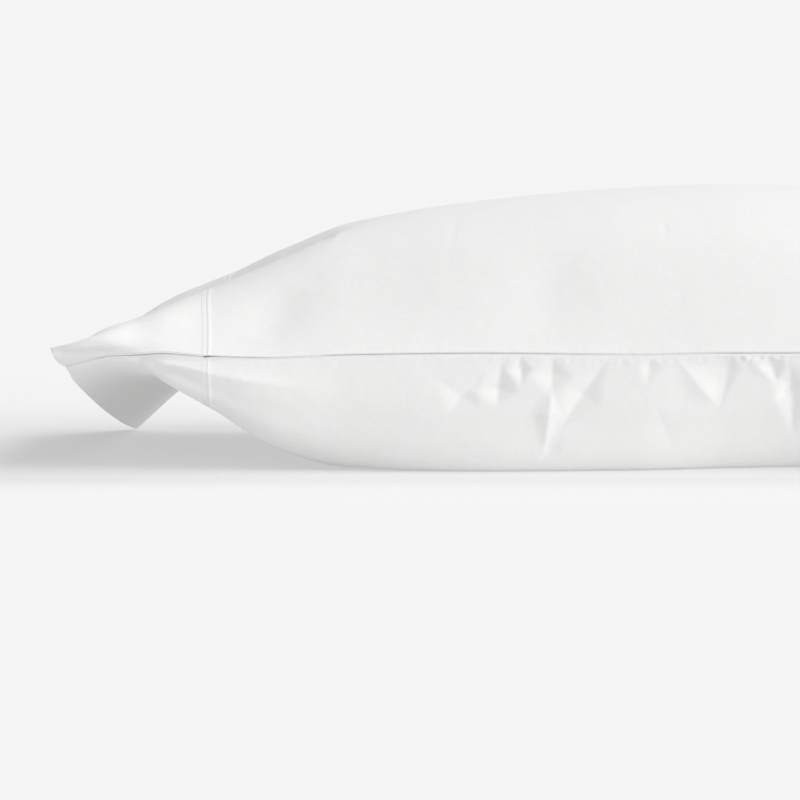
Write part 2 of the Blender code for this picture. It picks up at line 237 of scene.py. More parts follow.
SEAM_HALF = 0.38            # half width of the groove between the seam's two lips
GROOVE_POWER = 1.5          # its form: 2 would be a bell curve, 1 a sharp notch
PLAIN_PULL = 1.6            # a deeper groove than this is wider too, in proportion
WIDEST = 1.6                # up to this many times its plain width
SEAM_PULL = {               # how deep it draws each panel in, by place along the cloth, and from there on
    "top": [(0, 0.4), (22, 0.7), (34, 2.0), (48, 3.4), (66, 2.8), (90, 1.8), (120, 1.7)],
    "bottom": [(0, 0.3), (30, 0.5), (48, 2.2), (66, 1.8), (90, 1.4), (120, 1.3)],
}
LIP_HEIGHT = 0.10           # how far each lip stands out
LIP_AT = 1.6                # and how far from the seam
LIP_HALF = 0.9
MEET = 0.06                 # half the gap in which the two panels meet at the seam

HEM_RAISE = 0.25            # the hem's extra layers
HEM_EDGE = 104.2            # where the turned edge inside ends, along the cloth
HEM_EDGE_SOFT = 0.9
HEM_RIDGE = 0.12            # the crest along that edge
HEM_RIDGE_HALF = 1.0        # its half width, and how far before the edge it lies
HEM_FADE = 2.0              # the hem's relief dies out over this distance at the side seams
STITCH_ROWS = (101.8, 98.8)  # the two rows of stitches that hold the hem
STITCH_SINK = (0.24, 0.06)  # how deep each row draws the cloth in
STITCH_HALF = 0.42
HEM_LINING = 1.1            # thickness of the doubled hem at the mouth
LINING_SHARE = 0.8          # or this share of half the gap there, where that is less
EDGE_STEPS = 4              # points round the folded edge of the mouth
BACK_PLACES = (135, 300, 500, 700, 755)  # rows of the hidden back, which parts the panels inside the pillow
BACK_INSET = 0.002          # how far these rows stop short of the seams, as a share of the width

ROW_RUNS = [
    (6, 5), (94, 44), (97.4, 3), (106.2, 20), (300, 96), (520, 176), (735, 120), (CLOTH_LENGTH, 20),
]
COLUMN_RUNS = [
    (1.2, 4), (3.2, 4), (8, 5), (60, 30), (110, 20), (410, 60), (470, 20), (500, 15), (504.8, 4), (506.8, 4),
    (CLOTH_WIDTH, 4),
]
LINING_ROWS = 44            # inner rows that line the open hem
LINING_PITCH = 1.6          # from one of them to the next, on the cloth's map
FILL_ROWS = 14              # inner rows round the pillow's end

STITCH_PITCH = 2.0          # along every row
STITCH_LENGTH = 1.25
STITCH_THICK = 0.42
STITCH_OUT = 0.1            # how far a stitch's middle lies out from the cloth
STITCH_MARGIN = 2.5         # the hem's rows stop this far from the side seams
GRAIN_SIDES = 6             # a stitch is a grain with this many sides
GRAIN_SHOULDER = 0.34       # from its middle to where it begins to narrow, as a share of its length
BAR_LENGTH = 0.9            # the thread bars that show across the groove of a turned seam
BAR_THICK = 0.24
BAR_OUT = 0.20              # how far they lie out from its deepest line


def cubic(points, slopes, i, h, u):
    """The cubic from point i to the next one, h apart, at the share u of the way."""
    return (
        points[i] * (1 + 2 * u) * (1 - u) ** 2
        + slopes[i] * h * u * (1 - u) ** 2
        + points[i + 1] * u * u * (3 - 2 * u)
        - slopes[i + 1] * h * u * u * (1 - u)
    )


def smooth_curve(at, places, values):
    """A cubic curve through the given values whose slopes never overshoot them."""
    at = np.clip(at, places[0], places[-1])
    steps = np.diff(places)
    rises = np.diff(values) / steps
    slopes = np.zeros(len(places))
    slopes[0] = rises[0]
    slopes[-1] = rises[-1]
    for i in range(1, len(places) - 1):
        before, after = rises[i - 1], rises[i]
        if before * after > 0:
            slopes[i] = 3 * (steps[i - 1] + steps[i]) / (
                (2 * steps[i] + steps[i - 1]) / before + (steps[i] + 2 * steps[i - 1]) / after
            )
    i = np.clip(np.searchsorted(places, at) - 1, 0, len(places) - 2)
    return cubic(values, slopes, i, steps[i], (at - places[i]) / steps[i])


def section_at(s):
    """The section at any distance along the cloth, between the table's rows."""
    places = np.array([row.s for row in SECTIONS], float)
    columns = np.array(SECTIONS, float).T
    return Section(*[smooth_curve(s, places, column) for column in columns])


def lengths_along(line):
    """The distance along a line from its start to each of its points."""
    return np.concatenate([[0], np.cumsum(np.linalg.norm(np.diff(line, axis=0), axis=1))])


def on_line(values, lengths, wanted):
    """The values that go with a line's points, at any distances along it."""
    return np.stack([np.interp(wanted, lengths, column) for column in values.T], axis=-1)


def spline_through(points, shares):
    """The points at the given shares of the length of a smooth curve through a few (y, z) points."""
    points = np.array(points, float)
    first = 2 * points[0] - points[1]
    last = 2 * points[-1] - points[-2]
    chain = np.vstack([first, points, last])
    places = np.concatenate([[0], np.cumsum(np.sqrt(np.linalg.norm(np.diff(chain, axis=0), axis=1)))])
    steps = np.diff(places)
    tangents = np.zeros_like(chain)
    for i in range(1, len(chain) - 1):
        before = (chain[i] - chain[i - 1]) / steps[i - 1]
        after = (chain[i + 1] - chain[i]) / steps[i]
        tangents[i] = (before * steps[i] + after * steps[i - 1]) / (steps[i] + steps[i - 1])
    fine = np.linspace(places[1], places[-2], CURVE_STEPS)
    i = np.clip(np.searchsorted(places, fine) - 1, 1, len(points) - 1)
    h = steps[i][:, None]
    curve = cubic(chain, tangents, i, h, (fine - places[i])[:, None] / h)
    lengths = lengths_along(curve)
    return on_line(curve, lengths, shares * lengths[-1])


def side_point(seam, foot, s):
    """A point halfway down the rounded side, where the filling pushes it out between seam and foot."""
    seam, foot = np.array(seam), np.array(foot)
    down = foot - seam
    outward = np.array([down[1], -down[0]]) / np.linalg.norm(down)
    if outward[1] > 0:
        outward = -outward
    filled = np.interp(s, [FILL_START, HEM_DEPTH, END_ROUND, CLOTH_LENGTH], [0, 1, 1, 0])
    fullness = min(1, np.linalg.norm(down) / FULL_SIDE)
    return 0.5 * (seam + foot) + outward * SIDE_BULGE * filled * fullness


def section_curves(s, across):
    """The (x, y, z) points across the top and the bottom of one section, from near seam to far seam."""
    row = section_at(s)
    near = (row.near_y, row.near_z)
    far = (row.far_y, row.far_z)
    ridge = (row.ridge_y, row.ridge_z)
    far_ridge = (row.far_ridge_y, row.far_ridge_z)
    top = spline_through([near, ridge, (0, row.mid_z), far_ridge, far], across)
    foot = (row.foot_y, row.foot_z)
    far_foot = (row.far_foot_y, row.far_foot_z)
    near_side = side_point(near, foot, s)
    far_side = side_point(far, far_foot, s)
    bottom = spline_through([near, near_side, foot, (0, row.under_z), far_foot, far_side, far], across)
    seam_x = row.near_x + (row.far_x - row.near_x) * across
    lead = np.sin(np.pi * across).clip(0) ** 0.5
    middle_x = 0.5 * (row.near_x + row.far_x)
    top_x = seam_x + (row.top_x - middle_x) * lead
    bottom_x = seam_x + (row.under_x - middle_x) * lead
    return np.column_stack([top_x, top]), np.column_stack([bottom_x, bottom])


def outer_surfaces(places, across):
    """The grids of points on the outside of the top and the bottom panel, before any fold."""
    curves = [section_curves(s, across) for s in places]
    top = np.array([pair[0] for pair in curves])
    bottom = np.array([pair[1] for pair in curves])
    end = 0.5 * (top[-1] + bottom[-1])
    top[-1] = end
    bottom[-1] = end
    return top, bottom


def unit(vectors):
    """The vectors at a length of 1."""
    return vectors / np.maximum(np.linalg.norm(vectors, axis=-1, keepdims=True), TINY)


def grid_normals(grid, up):
    """Unit normals of a grid of points, on the upper or the lower side."""
    normals = unit(np.cross(np.gradient(grid, axis=0), np.gradient(grid, axis=1)))
    return normals if up else -normals


def settle_on_floor(grid):
    """Flatten what would sink below the floor, with a soft bend at its rim."""
    z = grid[..., 2]
    soft = (z + FLAT_BLEND) ** 2 / (4 * FLAT_BLEND)
    grid[..., 2] = np.where(z < -FLAT_BLEND, 0, np.where(z > FLAT_BLEND, z, soft))


def spread(runs):
    """Places from 0 on, in runs of evenly spaced cells."""
    places = [0.0]
    for end, cells in runs:
        places.extend(np.linspace(places[-1], end, cells + 1)[1:])
    return np.array(places)


def nearest_row(places, place):
    """The number of the grid's row that lies nearest to a place along the cloth."""
    return int(np.argmin(np.abs(places - place)))


# --- folds, creases and gathers ---


def bump(distance, half_width, power=2.0):
    """A rounded crest of height 1."""
    return np.exp(-(np.abs(distance / half_width) ** power))


def step(distance, softness):
    """From 0 before an edge to 1 past it."""
    return 0.5 * (1 + np.tanh(distance / softness))


def ramp_between(at, ends):
    """From 0 at the first place to 1 at the second, with soft ends."""
    share = np.clip((at - ends[0]) / (ends[1] - ends[0]), 0, 1)
    return share * share * (3 - 2 * share)


def between(at, ends):
    """From 0 up to 1 between the first two places, and down to 0 again between the last two."""
    return ramp_between(at, ends[:2]) * (1 - ramp_between(at, ends[2:]))


def off_seams(w, distance):
    """From 0 at both side seams to 1 at a distance from them."""
    return np.clip(np.minimum(w, CLOTH_WIDTH - w) / distance, 0, 1)


def along_line(s, w, start, end):
    """Each point's share of the way along a line on the cloth, and its distance from that line."""
    start, end = np.array(start, float), np.array(end, float)
    run = end - start
    from_start = np.stack([s, w], axis=-1) - start
    share = np.clip(from_start @ run / (run @ run), 0, 1)
    return share, np.linalg.norm(from_start - share[..., None] * run, axis=-1)


def fold_heights(panel, s, w):
    """The soft folds that a panel's solid has too."""
    heights = np.zeros_like(s)
    for fold in FOLDS:
        if fold.panel == panel:
            start = (fold.s_from, fold.across_from * CLOTH_WIDTH)
            end = (fold.s_to, fold.across_to * CLOTH_WIDTH)
            share, away = along_line(s, w, start, end)
            fade = np.sin(np.pi * (FOLD_TIP + (1 - 2 * FOLD_TIP) * share))
            heights += fold.height * fade * bump(away, fold.half_width)
    return heights * off_seams(w, SEAM_FADE)


def kite(s, w, start, end, peak, before, after):
    """A pucker of height 1: flat facets that fall from a line to a kite-shaped outline."""
    share, away = along_line(s, w, start, end)
    s_on_line = start[0] + (end[0] - start[0]) * share
    size = np.minimum(share / peak, (1 - share) / (1 - peak))
    width = np.where(s < s_on_line, before, after)
    height = size - away / width
    return FACET_SOFT * np.logaddexp(0, height / FACET_SOFT)


def repeated_puckers():
    """The repeats of the underside's puckers."""
    puckers = []
    for repeat in REPEATS:
        for pucker in UNDER_PUCKERS:
            if repeat.s_from <= pucker.s_from <= repeat.s_to:
                copy = pucker._replace(
                    s_from=pucker.s_from + repeat.shift, s_to=pucker.s_to + repeat.shift,
                    height=pucker.height * repeat.share,
                )
                if repeat.far_side:
                    copy = copy._replace(w_from=CLOTH_WIDTH - copy.w_from, w_to=CLOTH_WIDTH - copy.w_to)
                puckers.append(copy)
    return puckers


def pucker_heights(panel, s, w):
    """The crisp puckers of one panel."""
    heights = np.zeros_like(s)
    for pucker in TOP_PUCKERS if panel == "top" else UNDER_PUCKERS + repeated_puckers():
        start, end = (pucker.s_from, pucker.w_from), (pucker.s_to, pucker.w_to)
        heights += pucker.height * kite(s, w, start, end, pucker.peak, pucker.before, pucker.after)
    return heights * off_seams(w, CREASE_FADE)


def from_turn(turns, s, w):
    """How far each point lies past a turn's line, across the cloth, and the turn's strength there."""
    places, line_at, strengths = np.array(turns, float).T
    line = smooth_curve(s, places, line_at)
    slope = smooth_curve(s + 1, places, line_at) - line
    return (w - line) / np.sqrt(1 + slope**2), smooth_curve(s, places, strengths)


def turn_heights(panel, s, w):
    """The near crest and the mouth's rolled corner on the top, or the side's rim and crest on the bottom."""
    if panel == "bottom":
        past, share = from_turn(SIDE_RIM, s, w)
        rim = RIM_RISE * share * bump(past, RIM_SIDE, TURN_POWER)
        past, share = from_turn(SIDE_SHELF, s, w)
        shelf = SHELF_RISE * share * bump(past, np.where(past < 0, *SHELF_SIDES), 1.0)
        return rim + shelf * ramp_between(w, (0, SHELF_START))
    past, share = from_turn(NEAR_CREST, s, w)
    behind = np.clip(past, 0, None)
    fall = CREST_DROP * (1 - np.exp(-behind / CREST_FALL)) * bump(behind, CREST_REACH)
    crest = share * (CREST_RISE * bump(past, CREST_SIDE, 1.0) - fall)
    past, share = from_turn(TIP_CREST, s, w)
    roll = TIP_RISE * bump(past, TIP_SIDE, TURN_POWER)
    hollow = TIP_HOLLOW * bump(past + TIP_HOLLOW_AT, TIP_HOLLOW_SIDE)
    return crest + share * (roll - hollow)


def noise(u, v, seed):
    """Smooth seeded noise from -1 to 1 on a lattice of unit cells."""
    u = u - u.min()
    v = v - v.min()
    lattice = np.random.default_rng(seed).uniform(-1, 1, (int(u.max()) + 3, int(v.max()) + 3))
    i, j = u.astype(int), v.astype(int)
    a, b = u - i, v - j
    a = a * a * a * (a * (6 * a - 15) + 10)
    b = b * b * b * (b * (6 * b - 15) + 10)
    return (
        lattice[i, j] * (1 - a) * (1 - b)
        + lattice[i + 1, j] * a * (1 - b)
        + lattice[i, j + 1] * (1 - a) * b
        + lattice[i + 1, j + 1] * a * b
    )


def gathered(along, away, strengths, seed):
    """The gathers of one seam: waves along it that widen and die out away from it."""
    places, values = zip(*strengths)
    strength = np.interp(along, places, values)
    heights = np.zeros_like(along)
    for number, gather in enumerate(GATHERS):
        lean = GATHER_LEAN * away * (1 if number % 2 else -1)
        stretch = GATHER_STRETCH * gather.reach
        wave = noise((along + lean) / gather.wavelength, away / stretch, seed + number)
        rise = 1 - np.exp(-away / (GATHER_RISE + GATHER_LATER * gather.wavelength))
        heights += gather.height * wave * rise * bump(away, gather.reach, GATHER_POWER)
    return strength * heights


def nipped(along, away, strengths, seed):
    """The nips of one seam: short crisp ridges that leave it at random places."""
    rng = np.random.default_rng(seed)
    places, values = zip(*strengths)
    heights = np.zeros_like(along)
    place = 0.0
    while place < places[-1]:
        place += NIPS.spacing * rng.uniform(*NIP_SHARES.spacing)
        length = NIPS.length * rng.uniform(*NIP_SHARES.length)
        lean = length * NIPS.lean * rng.uniform(*NIP_SHARES.lean)
        width = NIPS.half_width * rng.uniform(*NIP_SHARES.half_width)
        height = NIPS.height * rng.uniform(*NIP_SHARES.height) * np.interp(place, places, values)
        beside = np.abs(along - place) < NIP_BOX[0] * NIPS.half_width + length
        near = beside & (away < NIP_BOX[1] * length)
        if height > NIP_LEAST and near.any():
            start, end = (place, 0.0), (place + lean, length)
            heights[near] += height * kite(along[near], away[near], start, end, NIP_PEAK, width, width)
    return heights * np.clip(away / CREASE_FADE, 0, 1)


def gather_heights(panel, s, w):
    """The gathers and nips of the near seam, the far seam and the closed end on one panel."""
    near_seed, far_seed, end_seed = SEAM_SEEDS[panel]
    sides = (
        (s, w, NEAR_TOP if panel == "top" else NEAR_UNDER, near_seed),
        (s, CLOTH_WIDTH - w, FAR_SIDE, far_seed),
        (w, CLOTH_LENGTH - s, CLOSED_END, end_seed),
    )
    return sum(gathered(*side) + nipped(*side) for side in sides)


def slack_heights(panel, s, w):
    """The slow undulations of cloth that is filled but not taut."""
    seed = SLACK_SEEDS[panel]
    slow = noise(s / SLACK_CELL[0], w / SLACK_CELL[1], seed)
    faint = noise(s / PRESS_CELL[0], w / PRESS_CELL[1], seed + 1)
    inside = off_seams(w, SLACK_FADE) * np.clip((s - HEM_DEPTH) / SLACK_FADE, 0, 1)
    return (SLACK_HEIGHT * slow + PRESS_HEIGHT * faint) * inside


def hem_heights(s, w):
    """The hem's extra layers, the crest of its turned edge, and the cloth drawn in at both stitch rows."""
    heights = HEM_RAISE * (1 - step(s - HEM_EDGE, HEM_EDGE_SOFT))
    heights += HEM_RIDGE * bump(s - HEM_EDGE + HEM_RIDGE_HALF, HEM_RIDGE_HALF)
    for place, sink in zip(STITCH_ROWS, STITCH_SINK):
        heights -= sink * bump(s - place, STITCH_HALF)
    return heights * off_seams(w, HEM_FADE)


def droop_heights(panel, s, w):
    """How the top's hem sags behind the mouth, and how its far crest runs straight."""
    if panel == "bottom":
        return np.zeros_like(s)
    sag = smooth_curve(s, *np.array(MOUTH_SAG).T) * between(w, MOUTH_SAG_ACROSS)
    true = smooth_curve(s, *np.array(FAR_TRUE).T) * between(w, FAR_TRUE_ACROSS)
    return sag + true


def tip_curl(s, w):
    """How far the near corner of the mouth curls in towards the far side."""
    along = np.clip(1 - s / TIP_CURL_ALONG, 0, 1) ** 2
    return TIP_CURL * along * (1 - ramp_between(w, TIP_CURL_ACROSS))


def hem_sway(s, w):
    """How far the top's hem line is drawn towards the mouth, over the near crest."""
    return HEM_SWAY * between(w, HEM_SWAY_ACROSS) * bump(s - HEM_DEPTH, HEM_SWAY_ALONG)


def drawn_in(panel, s, w):
    """How far the cloth is drawn in at the hem, along the case and across it."""
    along = np.zeros_like(s)
    across = tip_curl(s, w)
    if panel == "top":
        along -= hem_sway(s, w)
        along += TIP_TUCK * (1 - ramp_between(s, (0, TIP_TUCK_ALONG))) * between(w, TIP_TUCK_ACROSS)
        across += HEM_TUCK * (1 - ramp_between(s, HEM_TUCK_ALONG)) * between(w, HEM_TUCK_ACROSS)
    else:
        across += RIM_TUCK * between(s, RIM_TUCK_ALONG) * between(w, RIM_TUCK_ACROSS)
    return along, across


def seam_pull(places, across, up):
    """How the seams draw the cloth in between two lips, as a move of each point of the grid."""
    s, w = np.meshgrid(places, across * CLOTH_WIDTH, indexing="ij")
    move = np.zeros(s.shape + (3,))
    deepest = np.zeros_like(s)
    pull = np.interp(s, *zip(*SEAM_PULL["top" if up else "bottom"]))
    half = SEAM_HALF * np.clip(pull / PLAIN_PULL, 1, WIDEST)
    for away, inward in ((w, (0, 1)), (CLOTH_WIDTH - w, (0, -1)), (CLOTH_LENGTH - s, (-1, 0))):
        groove = bump(away, half, GROOVE_POWER)
        move[..., 0] += inward[0] * pull * groove
        move[..., 1] += inward[1] * pull * groove
        deepest = np.maximum(deepest, bump(away, SEAM_HALF, GROOVE_POWER))
    fold_down = (SEAM_RISE - MEET) * deepest
    move[..., 2] = -fold_down if up else fold_down
    return move


def lip_heights(s, w):
    """The lip that stands out beside each seam, on the top."""
    nearest = np.minimum(np.minimum(w, CLOTH_WIDTH - w), CLOTH_LENGTH - s)
    return LIP_HEIGHT * bump(nearest - LIP_AT, LIP_HALF)


def relief(panel, s, w):
    """All that stands out from or sinks into one panel's plain form, in mm."""
    soft = fold_heights(panel, s, w) + gather_heights(panel, s, w) + slack_heights(panel, s, w)
    soft *= np.clip((CLOTH_LENGTH - s) / END_FADE, END_SHARE, 1)
    soft += droop_heights(panel, s, w)
    crisp = pucker_heights(panel, s, w) + turn_heights(panel, s, w)
    lip = lip_heights(s, w) if panel == "top" else 0
    return soft + crisp + hem_heights(s, w) + lip


def cloth_grids(places, across):
    """The fine outer grids of both panels, in mm."""
    s, w = np.meshgrid(places, across * CLOTH_WIDTH, indexing="ij")
    grids = []
    for name, grid in zip(("top", "bottom"), outer_surfaces(places, across)):
        up = name == "top"
        grid = grid + grid_normals(grid, up) * relief(name, s, w)[..., None]
        grid[..., 2] += SEAM_RISE if up else -SEAM_RISE
        along, over = drawn_in(name, s, w)
        grid[..., 0] += along
        grid[..., 1] += over
        grid += seam_pull(places, across, up)
        if not up:
            settle_on_floor(grid)
        grids.append(grid)
    return grids


def grid_at(grid, places, wanted):
    """The points of a grid at any places along each of its columns."""
    columns = range(grid.shape[1])
    return np.stack([on_line(grid[:, j], places, wanted[:, j]) for j in columns], axis=1)


def inner_path(across):
    """Where each inner row lies along the cloth, and how deep: 0 on the lining, 1 in the middle."""
    tip = FILL_START + FILL_CORNER_LAG * (2 * across - 1) ** 2
    length = (FILL_ROUND + SEAM_CREEP) * np.sqrt(np.sin(np.pi * across).clip(0)) - SEAM_CREEP
    touch = tip + np.maximum(length, 0)
    angle = np.linspace(0, np.pi / 2, FILL_ROWS + 1)[1:, None]
    lining = touch * np.linspace(0, 1, LINING_ROWS + 1)[:, None]
    rounding = touch - length * np.sin(angle)
    off_cloth = 1 - np.cos(angle) * (1 - FILL_TAPER * np.sin(angle))
    return np.concatenate([lining, rounding]), np.concatenate([0 * lining, off_cloth + 0 * rounding])


def inner_grids(grids, places, across):
    """The hem's lining and the pillow's rounded end, seen through the mouth, for both panels."""
    wanted, depth = inner_path(across)
    both = [grid_at(grid, places, wanted) for grid in grids]
    inner = []
    for mine, other in (both, both[::-1]):
        inward = 0.5 * (other - mine)
        length = np.linalg.norm(inward, axis=2)
        thin = np.minimum(HEM_LINING, LINING_SHARE * length)
        reach = thin + (length - thin) * depth
        inner.append(mine + unit(inward) * reach[..., None])
    return inner


def mouth_edge(outer, inner):
    """A few rows round the fold of the hem, from the outer to the inner cloth."""
    middle = 0.5 * (outer[0] + inner[0])
    half = 0.5 * (outer[0] - inner[0])
    ahead = unit(outer[0] - outer[1]) * np.linalg.norm(half, axis=1, keepdims=True)
    angles = np.linspace(0, np.pi, EDGE_STEPS + 1)[1:-1]
    return [middle + half * math.cos(angle) + ahead * math.sin(angle) for angle in angles]


def in_part_frame(points):
    """Points of the photograph's layout, in mm, as metres in the part's frame."""
    return (points - np.array([CENTRE_X, CENTRE_Y, 0])) * MM


def hidden_back(outer, places):
    """The rows of a panel's back inside the pillow: straight from the near seam to the far one."""
    shares = np.linspace(BACK_INSET, 1 - BACK_INSET, outer.shape[1])[:, None]
    rows = []
    for place in BACK_PLACES:
        row = outer[nearest_row(places, place)]
        rows.append(row[0] * (1 - shares) + row[-1] * shares)
    return rows


def new_object(name, data, material=None):
    """A mesh with its material, a light or a camera as an object of the scene."""
    if material:
        data.materials.append(material)
    item = bpy.data.objects.new(name, data)
    bpy.context.scene.collection.objects.link(item)
    return item


def side_strip(mesh, outer, inner):
    """Close a seam's side of a panel, between its outer edge and the edge of its lining and back."""
    i, j = 0, 0
    while i < len(outer) - 1 or j < len(inner) - 1:
        take_outer = j == len(inner) - 1 or (i < len(outer) - 1 and outer[i + 1].co.x <= inner[j + 1].co.x)
        third = outer[i + 1] if take_outer else inner[j + 1]
        face = mesh.faces.new((outer[i], inner[j], third))
        for edge in face.edges:
            edge.smooth = False
        i += take_outer
        j += not take_outer


def cloth_piece(name, outer, inner, places, across, material):
    """One panel as a closed mesh: outer cloth, folded mouth edge, lining, pillow's end and hidden back."""
    edge = mouth_edge(outer, inner)
    back = hidden_back(outer, places)
    rows = list(outer[::-1]) + edge + list(inner) + back
    lining_places = places[0] - np.arange(len(inner)) * LINING_PITCH
    along = list(places[::-1]) + [0.0] * len(edge) + list(lining_places) + list(BACK_PLACES)
    points = in_part_frame(np.array(rows))
    mesh = bmesh.new()
    grid = [[mesh.verts.new(point) for point in row] for row in points]
    ring = grid + grid[:1]
    for row, following in zip(ring, ring[1:]):
        for j in range(len(row) - 1):
            mesh.faces.new((row[j], row[j + 1], following[j + 1], following[j]))
    mouth = len(outer) - 1
    for j in (0, -1):
        inner_side = [row[j] for row in grid[mouth + 1:]] + [grid[0][j]]
        outer_side = [row[j] for row in grid[mouth::-1]]
        side_strip(mesh, outer_side[:-1], inner_side)
    mesh.verts.index_update()
    bmesh.ops.recalc_face_normals(mesh, faces=mesh.faces)
    # Thin faces at the corners can mislead that step, so the sign of the volume decides.
    if mesh.calc_volume(signed=True) < 0:
        bmesh.ops.reverse_faces(mesh, faces=mesh.faces)
    for face in mesh.faces:
        face.smooth = True
    data = bpy.data.meshes.new(name)
    mesh.to_mesh(data)
    mesh.free()
    add_cloth_map(data, along, across)
    return new_object(name, data, material)


def add_cloth_map(data, along, across):
    """A map of the cloth in metres, which the weave follows."""
    v, u = np.meshgrid(np.array(along) * MM, across * CLOTH_WIDTH * MM, indexing="ij")
    layer = data.uv_layers.new(name="cloth")
    loops = np.zeros(len(data.loops), np.int32)
    data.loops.foreach_get("vertex_index", loops)
    flat = np.stack([v.ravel()[loops], u.ravel()[loops]], axis=1)
    layer.data.foreach_set("uv", flat.astype(np.float32).ravel())


# --- stitches ---


def stitch_shape():
    """The points and faces of one stitch: a small faceted grain along X, of length and thickness 1."""
    sides = GRAIN_SIDES
    points = [(-0.5, 0, 0)]
    for x in (-GRAIN_SHOULDER, GRAIN_SHOULDER):
        for k in range(sides):
            angle = 2 * math.pi * k / sides
            points.append((x, 0.5 * math.cos(angle), 0.5 * math.sin(angle)))
    points.append((0.5, 0, 0))
    faces = []
    for k in range(sides):
        after = (k + 1) % sides
        faces.append((0, 1 + after, 1 + k))
        faces.append((1 + k, 1 + after, 1 + sides + after, 1 + sides + k))
        faces.append((1 + 2 * sides, 1 + sides + k, 1 + sides + after))
    return np.array(points), faces


def line_stitches(line, normals, across):
    """The points and faces of a row of stitches along a line on the cloth, or of bars across it, in mm."""
    lengths = lengths_along(line)
    count = int((lengths[-1] - STITCH_LENGTH) / STITCH_PITCH)
    places = (np.arange(count) + 0.5) * lengths[-1] / count
    shape, faces = stitch_shape()
    length, thick = (BAR_LENGTH, BAR_THICK) if across else (STITCH_LENGTH, STITCH_THICK)
    size = np.array([length, thick, thick])
    reach = np.array([-0.5, 0, 0.5]) * STITCH_LENGTH
    points, polygons = [], []
    for place in places:
        before, middle, after = on_line(line, lengths, place + reach)
        ahead = unit(after - before)
        up = on_line(normals, lengths, place)
        up = unit(up - ahead * (up @ ahead))
        side = np.cross(up, ahead)
        frame_of_stitch = np.array([side, -ahead, up] if across else [ahead, side, up])
        first = len(points)
        points.extend(middle + (shape * size) @ frame_of_stitch)
        polygons.extend(tuple(first + k for k in face) for face in faces)
    return points, polygons


def stitches_piece(name, rows, material, across):
    """Rows of stitches as one mesh."""
    points, faces = [], []
    for line, normals in rows:
        more, polygons = line_stitches(line, normals, across)
        faces.extend(tuple(len(points) + k for k in face) for face in polygons)
        points.extend(more)
    data = bpy.data.meshes.new(name)
    data.from_pydata(in_part_frame(np.array(points)).tolist(), [], faces)
    data.shade_smooth()
    return new_object(name, data, material)


def hem_rows(grid, places, across, up):
    """The two stitch rows across one panel's hem."""
    normals = grid_normals(grid, up)
    w = across * CLOTH_WIDTH
    inside = (w > STITCH_MARGIN) & (w < CLOTH_WIDTH - STITCH_MARGIN)
    rows = []
    for place in STITCH_ROWS:
        i = nearest_row(places, place)
        rows.append((grid[i][inside] + STITCH_OUT * normals[i][inside], normals[i][inside]))
    return rows


def seam_rows(grids):
    """The rows of thread bars in the grooves of the near seam, the far seam and the closed end."""
    middle = 0.5 * (grids[0] + grids[1])
    rows = []
    for line, away in ((middle[:, 0], (0, -1, 0)), (middle[:, -1], (0, 1, 0)), (middle[-1], (1, 0, 0))):
        normals = np.tile(np.array(away, float), (len(line), 1))
        rows.append((line + BAR_OUT * normals, normals))
    return rows


# --- materials ---

WHITE = (0.86, 0.86, 0.855, 1)
THREAD_WHITE = (0.78, 0.78, 0.775, 1)

# The cloth's fine relief, in metres: size and height of each kind.
YARN_PITCH = 0.00036        # one yarn of the weave to the next
YARN_RISE = 0.00003
SLUB = 0.004                # length of the faint thick places in the yarns
SLUB_STRETCH = 8            # how many times longer than wide they are
SLUB_RISE = 0.00012
PRESS = 0.02                # the faint pressed unevenness
PRESS_RISE = 0.0007
TWIST_SCALE = 2500.0        # fineness of the thread's twist
TWIST_RISE = 0.00005


def new_material(name):
    """A material, with its nodes, its links and its shader."""
    material = bpy.data.materials.new(name)
    material.use_nodes = True
    nodes, links = material.node_tree.nodes, material.node_tree.links
    return material, nodes, links, nodes["Principled BSDF"]


def set_inputs(node, values):
    """Set some of a node's inputs by their names."""
    for name, value in values.items():
        node.inputs[name].default_value = value


def add_relief(nodes, links, height, strength, distance):
    """Let a height bend the shader's normals."""
    bend = nodes.new("ShaderNodeBump")
    set_inputs(bend, {"Strength": strength, "Distance": distance})
    links.new(height, bend.inputs["Height"])
    links.new(bend.outputs[0], nodes["Principled BSDF"].inputs["Normal"])


def socket_math(nodes, links, kind, first, second):
    """One Math node on two inputs, which are sockets or numbers."""
    node = nodes.new("ShaderNodeMath")
    node.operation = kind
    for index, value in enumerate((first, second)):
        if isinstance(value, (int, float)):
            node.inputs[index].default_value = value
        else:
            links.new(value, node.inputs[index])
    return node.outputs[0]


def stretched_noise(nodes, links, vector, scale, detail):
    """Noise on the cloth map, stretched along one set of yarns."""
    mapping = nodes.new("ShaderNodeMapping")
    set_inputs(mapping, {"Scale": scale})
    links.new(vector, mapping.inputs["Vector"])
    node = nodes.new("ShaderNodeTexNoise")
    set_inputs(node, {"Scale": 1.0, "Detail": detail})
    links.new(mapping.outputs[0], node.inputs["Vector"])
    return node.outputs["Fac"]


